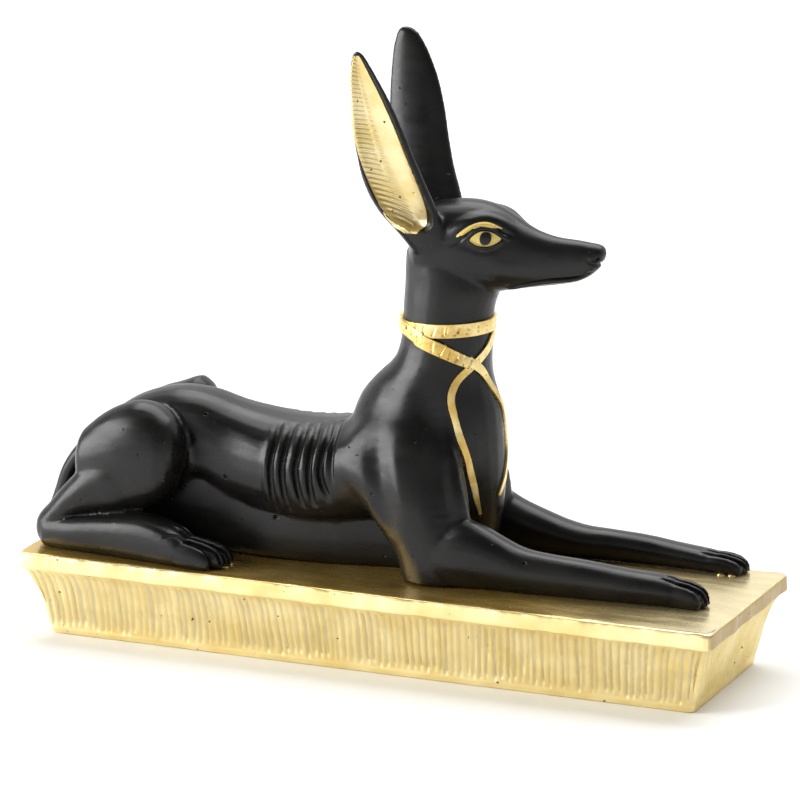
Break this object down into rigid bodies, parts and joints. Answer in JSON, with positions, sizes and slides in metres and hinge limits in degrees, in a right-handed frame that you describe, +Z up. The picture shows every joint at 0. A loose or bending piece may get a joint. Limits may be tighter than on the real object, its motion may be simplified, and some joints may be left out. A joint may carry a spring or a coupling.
{
  "type": "lying jackal figure on a plinth",
  "caption": "Lying jackal with tall upright ears, a collar and a crossed ribbon, stretched forelegs and a hanging tail, on a low plinth with fluted hollow sides.",
  "frame": {"origin": "middle of the whole object's box at its underside, on the surface that the plinth stands on", "axes": "+X towards the jackal's nose, +Y towards its left side, +Z up"},
  "size_m": [0.2362, 0.0714, 0.1917],
  "materials": {
    "black_paint": "satin black paint on cast resin",
    "gold_paint": "metallic gold paint on cast resin, brushed by hand"
  },
  "bodies": {
    "root": {"jackal": "black_paint", "plinth": "gold_paint"}
  },
  "joints": []
}
